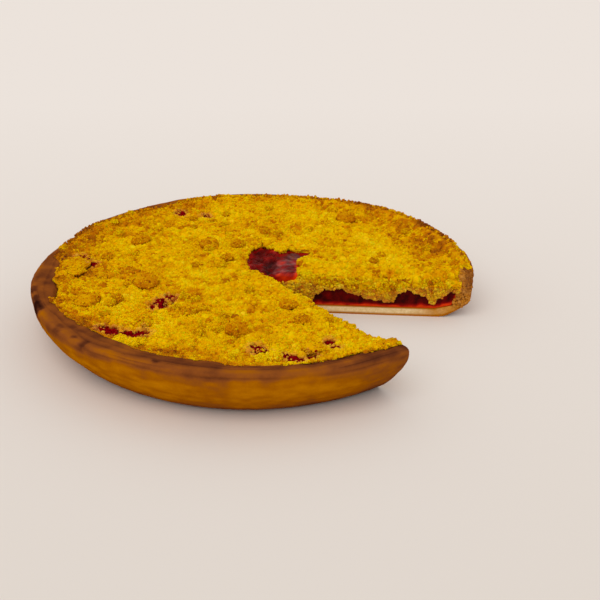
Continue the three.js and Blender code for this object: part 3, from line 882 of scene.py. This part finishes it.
def bed_piece():
    """The crumb layer with its hole: its top at the crumbs, its underside on the fruit and the case."""
    share, direction, triangles = fan(BED_RINGS)
    reach = np.full(len(direction), 130.0)
    for _ in range(REACH_GUESSES):
        reach = crumb_reach(*on_circle(direction, reach))
    x, y = ragged_cut(*on_circle(direction, reach, share))
    triangles = triangles[ragged_hole_depth(x[triangles].mean(1), y[triangles].mean(1)) < 0]
    on_case = pastry_top(x, y) * (np.hypot(x, y) > FILLING_RADIUS - 1)
    under = np.maximum(fruit_top(x, y), on_case) + LAYER_GAP
    upper = np.maximum(np.minimum(crumb_surface(x, y), TALLEST), under + 0.25)

    def broken(points, depth):
        ragged = noises(points, (1.3, 4.5, 64), (0.9, 2, 65)) - 1.0
        pockets = 3.2 * swell_share(*points.T[:2], CUT_SWELL) * blend(-0.1, 0.5, noise(points, 5, 67))
        return (ragged - pockets) * np.sin(np.pi * depth) ** 0.5

    top, bottom = np.stack([x, y, upper], 1), np.stack([x, y, under], 1)
    points, faces, used = closed_layer(top, bottom, triangles, BED_LEVELS, broken)
    wet = np.zeros(len(points))
    wet[: len(used)] = juice(*points[: len(used), :2].T)
    heap = read_map(CRUMB_HEAP, *points.T[:2])
    # The bed's low pockets between crumbs carry orange painted shade.
    piece = make_piece("crumb_bed", points, faces, CRUMB, bake=crumb_bake(points), tone=noise(points, 3, 66),
                       juice=wet, soak=soaking(points), deep=blend(2.2, 0.4, heap))
    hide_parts("crumb_topping")


BED_RINGS, BED_LEVELS, REACH_GUESSES = 130, 10, 5
bed_piece()


# %% [markdown]
# ## Loose crumbs and lumps
# A crumb is a small ball with its corners moved at random. All crumbs of one sort are one mesh: the same
# little ball is repeated as rows of a big array, and each row is squashed, turned and placed by numpy.


# %% A rough little ball
def ball(times):
    """Points and triangles of a ball: an icosahedron whose triangles are cut in four `times` over."""
    golden = (1 + 5**0.5) / 2
    seeds = [(0, a, b * golden) for a in (-1, 1) for b in (-1, 1)]
    points = np.array([np.roll(p, k) for p in seeds for k in range(3)], float)
    near = np.linalg.norm(points[:, None] - points[None], axis=-1).round(3) == 2
    corners = [(a, b, c) for a in range(12) for b in range(a) for c in range(b)]
    faces = np.array([(a, b, c) for a, b, c in corners if near[a, b] and near[b, c] and near[a, c]])
    for _ in range(times):
        edges = np.concatenate([faces[:, [0, 1]], faces[:, [1, 2]], faces[:, [2, 0]]])
        unique, back = np.unique(np.sort(edges, axis=1), axis=0, return_inverse=True)
        ab, bc, ca = len(points) + back.reshape(3, -1)
        a, b, c = faces.T
        points = np.concatenate([points, points[unique].mean(axis=1)])
        quarters = (a, ab, ca), (b, bc, ab), (c, ca, bc), (ab, bc, ca)
        faces = np.concatenate([np.stack(quarter, 1) for quarter in quarters])
    points = points / np.linalg.norm(points, axis=1, keepdims=True)
    first, second, third = points[faces].transpose(1, 0, 2)
    turned = (np.cross(second - first, third - first) * (first + second + third)).sum(axis=1) < 0
    faces[turned] = faces[turned][:, ::-1]
    return points, faces


def repeated(faces, count, points_each):
    """The triangles of `count` copies of a shape whose points follow each other in one array."""
    return (faces[None] + np.arange(count)[:, None, None] * points_each).reshape(-1, 3)


def random_turns(rng, count):
    """Random rotation matrices, from random unit quaternions."""
    q = rng.normal(size=(count, 4))
    w, x, y, z = (q / np.linalg.norm(q, axis=1, keepdims=True)).T
    rows = [[1 - 2 * (y * y + z * z), 2 * (x * y - z * w), 2 * (x * z + y * w)],
            [2 * (x * y + z * w), 1 - 2 * (x * x + z * z), 2 * (y * z - x * w)],
            [2 * (x * z - y * w), 2 * (y * z + x * w), 1 - 2 * (x * x + y * y)]]
    return np.array(rows).transpose(2, 0, 1)


def scatter(name, places, radii, times, roughness, rng, bake, tone, material=None, **values):
    """One mesh of rough balls: one for each place, with its radius in mm, its browning and its tone."""
    base, faces = ball(times)
    count = len(places)
    shape = base[None] * (1 + roughness * rng.uniform(-1, 1, (count, len(base), 1)))
    shape = shape * rng.uniform(1 - SQUASH, 1 + SQUASH, (count, 1, 3))
    shape = np.einsum("nij,nkj->nki", random_turns(rng, count), shape)
    points = (places[:, None] + shape * radii[:, None, None]).reshape(-1, 3)
    wet = blend(0.7, 0.0, off_juice(*places.T[:2])) * (tone < 0.3) * (places[:, 2] > 24)
    values.update(bake=bake, tone=tone, juice=wet, soak=soaking(places))
    values = {key: np.repeat(numbers, len(base)) for key, numbers in values.items()}
    # Each crumb's lower half carries orange painted shade.
    piece = make_piece(name, points, repeated(faces, count, len(base)), material or CRUMB,
                       deep=blend(0.7, -0.5, shape[..., 2]).ravel(), **values)


SQUASH = 0.25
print("a crumb's triangles:", len(ball(0)[1]), "or, for the larger ones,", len(ball(1)[1]))


# %% Crumbs over the whole topping
def plan_places(rng, count):
    """Random plan points on the topping, clear of the wedge, the hole and most of the juice."""
    direction = rng.uniform(BACK_CUT, FRONT_CUT, count * 2)
    x, y = from_tip(direction, np.sqrt(rng.uniform(0, 1, count * 2)) * LONGEST_WAY)
    kept = (off_edge(x, y) > 0.4) & (off_juice(x, y) > rng.uniform(-4.0, 0.8, count * 2))
    kept = kept & (ragged_hole_depth(x, y) < -0.3) & (off_nearest(x, y, LUMPS) > -0.6)
    return x[kept][:count], y[kept][:count]


def plan_bake(x, y):
    """Browning of crumbs that lie on the bed's top, painted light included."""
    return crumb_bake(np.stack([x, y, crumb_base(x, y)], 1))


def throw_crumbs(name, count, smallest, largest, times, seed, sink):
    """Crumbs of one sort on the crumb surface, each sunk by a share of its radius."""
    rng = np.random.default_rng(seed)
    x, y = plan_places(rng, count)
    radii = rng.uniform(smallest, largest, len(x)) * rng.uniform(0.8, 1.1, len(x))
    z = np.minimum(crumb_surface(x, y) - sink * radii, TALLEST - 1.3 * radii)
    bake = plan_bake(x, y) + rng.normal(0, 0.09, len(x))
    scatter(name, np.stack([x, y, z], 1), radii, times, 0.28, rng, bake, rng.uniform(-1, 1, len(x)))


LONGEST_WAY = 146  # mm from the wedge's tip to a point just past the rim
throw_crumbs("dust_crumbs", 9900, 0.5, 0.85, 0, 105, 0.2)
throw_crumbs("fine_crumbs", 9900, 0.8, 1.5, 0, 101, 0.35)
throw_crumbs("coarse_crumbs", 1500, 1.4, 2.6, 1, 102, 0.45)


# %% [markdown]
# Crumbs also break off along the two cuts and round the hole. Along the back cut they even hang down over
# the fruit like a ragged curtain, lowest in three places. The curtain is a thin upright sheet with the heap
# map's relief, and its lower edge is cut to a ragged line.


# %% Curtain of crumbs on the back cut
CUT_OUT_X, CUT_OUT_Y = math.sin(BACK_CUT), -math.cos(BACK_CUT)
TAN_ALONG = [15, 25, 37, 50, 60, 75, 88, 95, 108, 111, 118, 127]
TAN_HEIGHT = [26, 24, 20, 21, 18.5, 17, 14.5, 21, 21, 16, 17, 22]


def on_back_cut(along, height, out):
    """Points on the back cut: so far along it, so high, and so far out into the gap."""
    x, y = from_tip(BACK_CUT, along)
    return np.stack([x + out * CUT_OUT_X, y + out * CUT_OUT_Y, height], axis=-1)


def curtain_piece():
    """The hanging crumbs: a front sheet with relief, a back sheet inside the fruit, and a wall round them."""
    along, height = np.meshgrid(np.linspace(16, 133, 218), np.linspace(7, 33, 44), indexing="ij")
    faces = grid_faces(*along.shape)[:, ::-1]
    along, height = along.ravel(), height.ravel()
    middle_along, middle_height = along[faces].mean(axis=1), height[faces].mean(axis=1)
    x, y = from_tip(BACK_CUT, middle_along)
    under_hole = np.interp(middle_along, [15, 22, 27, 28], [20, 22.5, 24, 40])
    under_hole = under_hole + noise(flat(middle_along, 0 * x), 2, 35)
    upper = np.minimum(crumb_base(x, y) - 0.6, under_hole)
    kept = (middle_height > hang_height(middle_along)) & (middle_height < upper)
    relief = read_map(CRUMB_HEAP, along, 3 * height)
    out = 0.1 + 0.9 * relief + 1.2 * noise(on_back_cut(along, height, 0 * along), 5, 28) + hang_out(height)
    front, back = on_back_cut(along, height, out), on_back_cut(along, height, -0.5 + 0 * along)
    points, faces, _ = closed_layer(front, back, faces[kept], 1)
    relief = read_map(CRUMB_HEAP, points[:, 0], 3 * points[:, 2])
    # The hanging crumbs carry orange painted shade all over, more in their hollows.
    piece = make_piece("hanging_crumbs", points, faces, CRUMB, bake=curtain_bake(points),
                       tone=noise(points, 3, 66), juice=np.zeros(len(points)),
                       soak=0.2 * curtain_soak(points) + 0.6 * curtain_border(points),
                       deep=0.5 + blend(2.0, 0.4, relief))


def hang_out(height):
    """How far the hanging crumbs stand out in mm: most at half height, and drawn in under the bed above."""
    return 1.5 * blend(27, 17, height) - 2.0 * blend(23, 29, height)


def curtain_bake(points):
    """Browning of the hanging crumbs: mottled gold, browner low down, and paler at the left end than towards
    the right, painted light against the shade of the crumbs in front.
    """
    # Painted light: the left end stays paler, against the shade cast by the crumbs in front.
    right = 0.1 * blend(45, 60, points[:, 0])
    return 0.32 + 0.12 * curtain_soak(points) + right + noises(points, (0.26, 5, 26), (0.26, 2.0, 29))


def curtain_soak(points):
    """1 where the hanging crumbs are tan with juice, below a line that wanders, and 0 above it."""
    line = np.interp(points[:, 0], TAN_ALONG, TAN_HEIGHT) + 1.5 * noise(points, 6, 34)
    return blend(1.5, -1.5, points[:, 2] - line)


def curtain_border(points):
    """1 along the hanging crumbs' lower edge, where juice stained them pink, and 0 from 3 mm above it."""
    _, along = cut_distance(points[:, 0], points[:, 1], BACK_CUT)
    return blend(3.2, 0.6, points[:, 2] - hang_height(along))


curtain_piece()


# %% Crumbs on the broken walls
def along_cuts(rng, count):
    """Random points on the topping's faces at both cuts."""
    found = []
    for cut, inward in ((BACK_CUT, 1), (FRONT_CUT, -1)):
        along = rng.uniform(4, 137, count)
        x, y = ragged_cut(*from_tip(cut, along))
        back_in = rng.uniform(-0.1, 0.9, count) * inward
        x, y = x - back_in * math.sin(cut), y + back_in * math.cos(cut)
        kept = (ragged_hole_depth(x, y) < -0.4) & (off_edge(x, y) > 0)
        found.append(np.stack([x[kept], y[kept]], 1))
    return np.concatenate(found)


def round_hole(rng, count):
    """Random points on the topping's broken face round the hole."""
    pick = rng.integers(0, len(HOLE) - 3, count)
    share = rng.uniform(0, 1, (count, 1))
    edge = HOLE[pick] * (1 - share) + HOLE[pick + 1] * share + rng.normal(0, 1.2, (count, 2))
    depth = ragged_hole_depth(*edge.T)
    return edge[(depth < -0.1) & (depth > -1.4)]


def wall_crumbs():
    """Crumbs on the topping's broken faces and on the curtain."""
    rng = np.random.default_rng(103)
    x, y = np.concatenate([along_cuts(rng, 1500), round_hole(rng, 700)]).T
    low = np.maximum(fruit_top(x, y), pastry_top(x, y) * (np.hypot(x, y) > FILLING_RADIUS)) + 0.8
    high = np.minimum(crumb_surface(x, y), TALLEST - 0.6)
    broken = np.stack([x, y, low + (high - low) * rng.uniform(0, 1, len(x))], 1)
    along, height = rng.uniform(17, 132, HANGING_TRIES), rng.uniform(8, 30, HANGING_TRIES)
    kept = (height > hang_height(along) + 0.3) & (height < np.where(along > 27, 26, 22))
    out = rng.uniform(0.3, 1.5, HANGING_TRIES) + hang_out(height)
    hanging = on_back_cut(along, height, out)[kept]
    bake = [crumb_bake(broken), curtain_bake(hanging) + rng.normal(0, 0.12, len(hanging))]
    places, bake = np.concatenate([broken, hanging]), np.concatenate(bake)
    radii, tone = rng.uniform(0.6, 1.3, len(bake)), rng.uniform(-1, 1, len(bake))
    bake = bake + rng.normal(0, 0.07, len(bake))
    scatter("broken_edge_crumbs", places, radii, 0, 0.3, rng, bake, tone)


def case_end_crumbs():
    """Bits of broken pastry on the case's end at the back cut, tan within and brown near its top corner."""
    rng = np.random.default_rng(108)
    along, height = rng.uniform(128, 142, END_TRIES), rng.uniform(8, 36, END_TRIES)
    x, y = from_tip(BACK_CUT, along)
    outline = np.interp(height, OUT_Z[FLOOR_STEPS:], OUT_R[FLOOR_STEPS:])
    depth = outline + np.interp(height, OUTER_SLUMP_HEIGHT, OUTER_SLUMP) - np.hypot(x, y)
    kept = (height < pastry_top(x, y) + 0.2) & (height > rng.uniform(6, 24, END_TRIES)) & (depth > 0.9)
    places = on_back_cut(along, height, rng.uniform(-0.4, 0.3, END_TRIES))[kept]
    corner = blend(15, 24, places[:, 2]) * blend(9, 3, depth[kept])
    radii, tone = rng.uniform(0.6, 1.3, len(places)), rng.uniform(-1, 1, len(places))
    bake = 0.36 + 0.3 * corner + rng.normal(0, 0.06, len(places))
    inside = 0.8 - 0.8 * np.maximum(corner, 0.5) * rng.uniform(0.6, 1, len(places))
    scatter("case_end_crumbs", places, radii, 0, 0.3, rng, bake, tone, PASTRY, inside=inside,
            tan=0.9 + 0.1 * tone)


HANGING_TRIES, END_TRIES = 5200, 1100
wall_crumbs()
case_end_crumbs()


# %% Crumbs along the topping's outer edge
def edge_crumbs():
    """Small crumbs that lie along the topping's edge, most of them where it spills over the rim."""
    rng = np.random.default_rng(107)
    direction = rng.uniform(BACK_CUT, FRONT_CUT, EDGE_CRUMBS)
    reach = crumb_reach(*on_circle(direction, 130.0))
    kept = reach - 131 > rng.uniform(-2, 6, EDGE_CRUMBS)
    direction, reach = direction[kept], reach[kept] + rng.normal(-0.9, 0.8, kept.sum())
    x, y = on_circle(direction, reach)
    radii = 0.4 + 0.9 * rng.uniform(0, 1, len(x)) ** 2
    z = np.minimum(pastry_top(x, y) + 0.5 * radii + rng.uniform(0, 0.8, len(x)), TALLEST + 1.0 - 1.6 * radii)
    bake, tone = plan_bake(x, y) + rng.normal(0.06, 0.09, len(x)), rng.uniform(-1, 1, len(x))
    scatter("edge_crumbs", np.stack([x, y, z], 1), radii, 1, 0.28, rng, bake, tone)


EDGE_CRUMBS = 2400
edge_crumbs()

# %% [markdown]
# A few lumps of dough stayed whole. They are smoother than the crumbs, lie half sunk in them, and most baked
# to a duller brown. The largest ones have their own places, and the rest are scattered.


# %% Lumps
def lump_piece():
    """Half-sunk rounded lumps: placed ones first, then small ones at random. Each has its own flatness."""
    rng = np.random.default_rng(104)
    x, y = plan_places(rng, 46)
    clear = hole_depth(x, y) < -6
    x, y = x[clear], y[clear]
    small = [rng.uniform(low, high, len(x)) for low, high in ((2.0, 3.8), (0.5, 0.75), (0.42, 0.6))]
    x, y, radii, height, brown = np.concatenate([LUMPS, np.stack([x, y, *small], 1)]).T
    base, faces = ball(3)
    count = len(x)
    # Each lump reads the noise 29 mm further on than the one before, so no two have the same bumps.
    places = (base[None] * radii[:, None, None] + np.arange(count)[:, None, None] * 29).reshape(-1, 3)
    swell = 1 + 0.26 * layered_noise(places, 7, 68) + 0.18 * layered_noise(places, 2.0, 70)
    shape = base[None] * swell.reshape(count, -1, 1)
    shape[..., 2] *= height[:, None]
    z = np.minimum(crumb_base(x, y) + 0.42 * height * radii, TALLEST + 0.7 - 1.3 * height * radii)
    points = (np.stack([x, y, z], 1)[:, None] + shape * radii[:, None, None]).reshape(-1, 3)
    brown, nought = np.repeat(brown, len(base)), np.zeros(len(points))
    piece = make_piece("dough_lumps", points, repeated(faces, count, len(base)), CRUMB,
                       bake=brown + 0.08 * noise(points, 5, 69), tone=nought, juice=nought, soak=nought)
    return points, brown


def lump_grains():
    """Small grains stuck on the lumps, of nearly the same browning."""
    rng = np.random.default_rng(106)
    above = np.flatnonzero(LUMP_POINTS[:, 2] > crumb_base(*LUMP_POINTS.T[:2]) - 0.3)
    pick = rng.choice(above, LUMP_GRAINS, replace=False)
    places = LUMP_POINTS[pick] + rng.normal(0, 0.15, (LUMP_GRAINS, 3))
    radii, tone = rng.uniform(0.35, 0.9, LUMP_GRAINS), rng.uniform(-1, 1, LUMP_GRAINS)
    places[:, 2] = np.minimum(places[:, 2], TALLEST + 1.0 - 1.5 * radii)
    bake = LUMP_BAKE[pick] + rng.normal(0, 0.09, LUMP_GRAINS)
    scatter("lump_grains", places, radii, 0, 0.3, rng, bake, tone)


LUMP_GRAINS = 7000
LUMP_POINTS, LUMP_BAKE = lump_piece()
lump_grains()

# %% [markdown]
# ## Table, light and camera
# A warm-white table, painted a little lighter towards the back as painted light, one very wide sun and light
# from all round give the soft, nearly shadowless look of a product picture. The camera stands in front of the
# tart and looks down at it at about 26 degrees.

# %% Table
FLOOR_SIDE = 9.0


def make_table():
    """A big flat table top under the tart. Its colour is painted a little lighter towards the back, painted
    light as if the back were lit more.
    """
    dress = Dress("table_with_painted_light", Roughness=0.9, Specular_IOR_Level=0.0)
    # Painted light: the table's colour grows lighter towards the back.
    back = dress.add("ShaderNodeSeparateXYZ", [("Vector", dress.place())]).outputs["Y"]
    back = dress.math("MULTIPLY_ADD", back, 1.2, 0.36, clamp=True)
    dress.set(Base_Color=dress.mix(back, srgb(*TABLE_NEAR_SHADED), srgb(*TABLE_FAR_LIT)))
    mesh = bpy.data.meshes.new("table")
    corners = [(x * FLOOR_SIDE / 2, y * FLOOR_SIDE / 2, 0) for x, y in ((-1, -1), (1, -1), (1, 1), (-1, 1))]
    mesh.from_pydata(corners, [], [(0, 1, 2, 3)])
    mesh.materials.append(dress.material)
    table = bpy.data.objects.new("table", mesh)
    bpy.context.scene.collection.objects.link(table)


TABLE_NEAR_SHADED, TABLE_FAR_LIT = (224, 217, 211), (235, 229, 225)
make_table()
print("table side in metres:", FLOOR_SIDE)


# %% Light
SUN_HEIGHT, SUN_SIDE, SUN_WIDTH, SUN_POWER = 52.0, -18.0, 50.0, 1.15
ROOM_LIGHT = 0.72


def make_sun():
    """A very wide soft sun from the camera's side, in front of the tart and above it."""
    lamp = bpy.data.lights.new("soft_sun", "SUN")
    lamp.energy, lamp.angle, lamp.color = SUN_POWER, math.radians(SUN_WIDTH), (1.0, 0.97, 0.92)
    holder = bpy.data.objects.new("soft_sun", lamp)
    holder.rotation_euler = (math.radians(90 - SUN_HEIGHT), 0.0, math.radians(SUN_SIDE))
    bpy.context.scene.collection.objects.link(holder)
    return holder


world = bpy.data.worlds.new("soft_room")
world.use_nodes = True
world.node_tree.nodes["Background"].inputs["Color"].default_value = (1.0, 0.97, 0.94, 1.0)
world.node_tree.nodes["Background"].inputs["Strength"].default_value = ROOM_LIGHT
bpy.context.scene.world = world
SUN = make_sun()
print("lamps:", [SUN.name], "and a soft room")

# %% Camera
CAMERA_TILT = math.radians(90 - 25.65)
camera_data = bpy.data.cameras.new("camera")
camera_data.lens, camera_data.sensor_width = 60.0, 36.0
camera = bpy.data.objects.new("camera", camera_data)
camera.location = (0.029077, -0.592615, 0.295226)
camera.rotation_euler = (CAMERA_TILT, 0.0, 0.0)
bpy.context.scene.collection.objects.link(camera)
bpy.context.scene.camera = camera
print("camera height in mm:", round(camera.location.z / MM))
